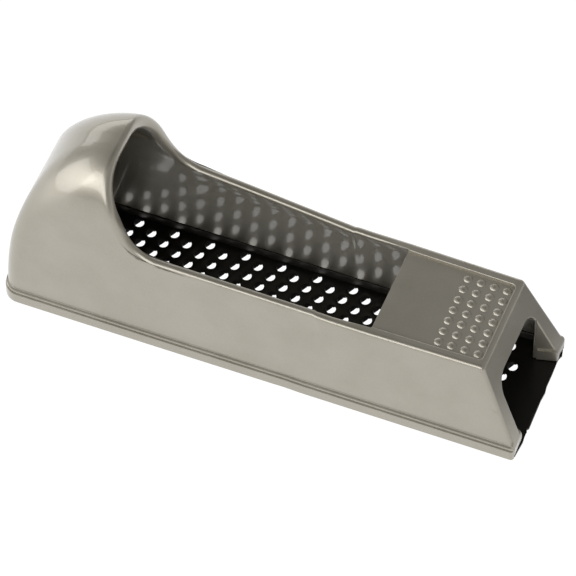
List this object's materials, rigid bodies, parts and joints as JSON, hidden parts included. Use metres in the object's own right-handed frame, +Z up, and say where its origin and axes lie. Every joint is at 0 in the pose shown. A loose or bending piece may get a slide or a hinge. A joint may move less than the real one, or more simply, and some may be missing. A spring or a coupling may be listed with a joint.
{
  "type": "hand plane",
  "caption": "One-hand pocket rasp plane: die-cast body with a raised palm rest over a perforated steel blade, tensioned by a screw and hook in the heel.",
  "frame": {"origin": "under the middle of the plane, on the surface that the blade's tooth tips rest on", "axes": "+X from the heel towards the toe, +Z up, +Y across"},
  "size_m": [0.16, 0.0444, 0.0634],
  "materials": {
    "silver_paint": "glossy metallic silver paint over a die-cast body",
    "black_steel": "black oxide, satin, bright where the teeth wear",
    "zinc_plate": "bright zinc plate",
    "spring_steel": "dark spring steel"
  },
  "bodies": {
    "casting": {"body_casting": "silver_paint"},
    "blade": {"rasp_blade": "black_steel"},
    "hook": {"tension_hook": "zinc_plate"},
    "screw": {"tension_screw": "zinc_plate", "screw_washer": "zinc_plate", "retaining_clip": "spring_steel"}
  },
  "joints": [
    {"name": "tension_screw_turn", "type": "hinge", "parent": "casting", "child": "screw", "pos_m": [-0.078, 0, 0.0092], "axis": [1, 0, 0], "range_deg": [0, 1440]},
    {"name": "tension_hook_slide", "type": "slide", "parent": "casting", "child": "hook", "axis": [1, 0, 0], "range_m": [0, 0.0032]},
    {"name": "blade_release", "type": "slide", "parent": "casting", "child": "blade", "axis": [0, 0, -1], "range_m": [0, 0.03]}
  ],
  "couplings": [
    {"joint": "tension_hook_slide", "follows": "tension_screw_turn", "m_per_rad": 0.00012732}
  ]
}
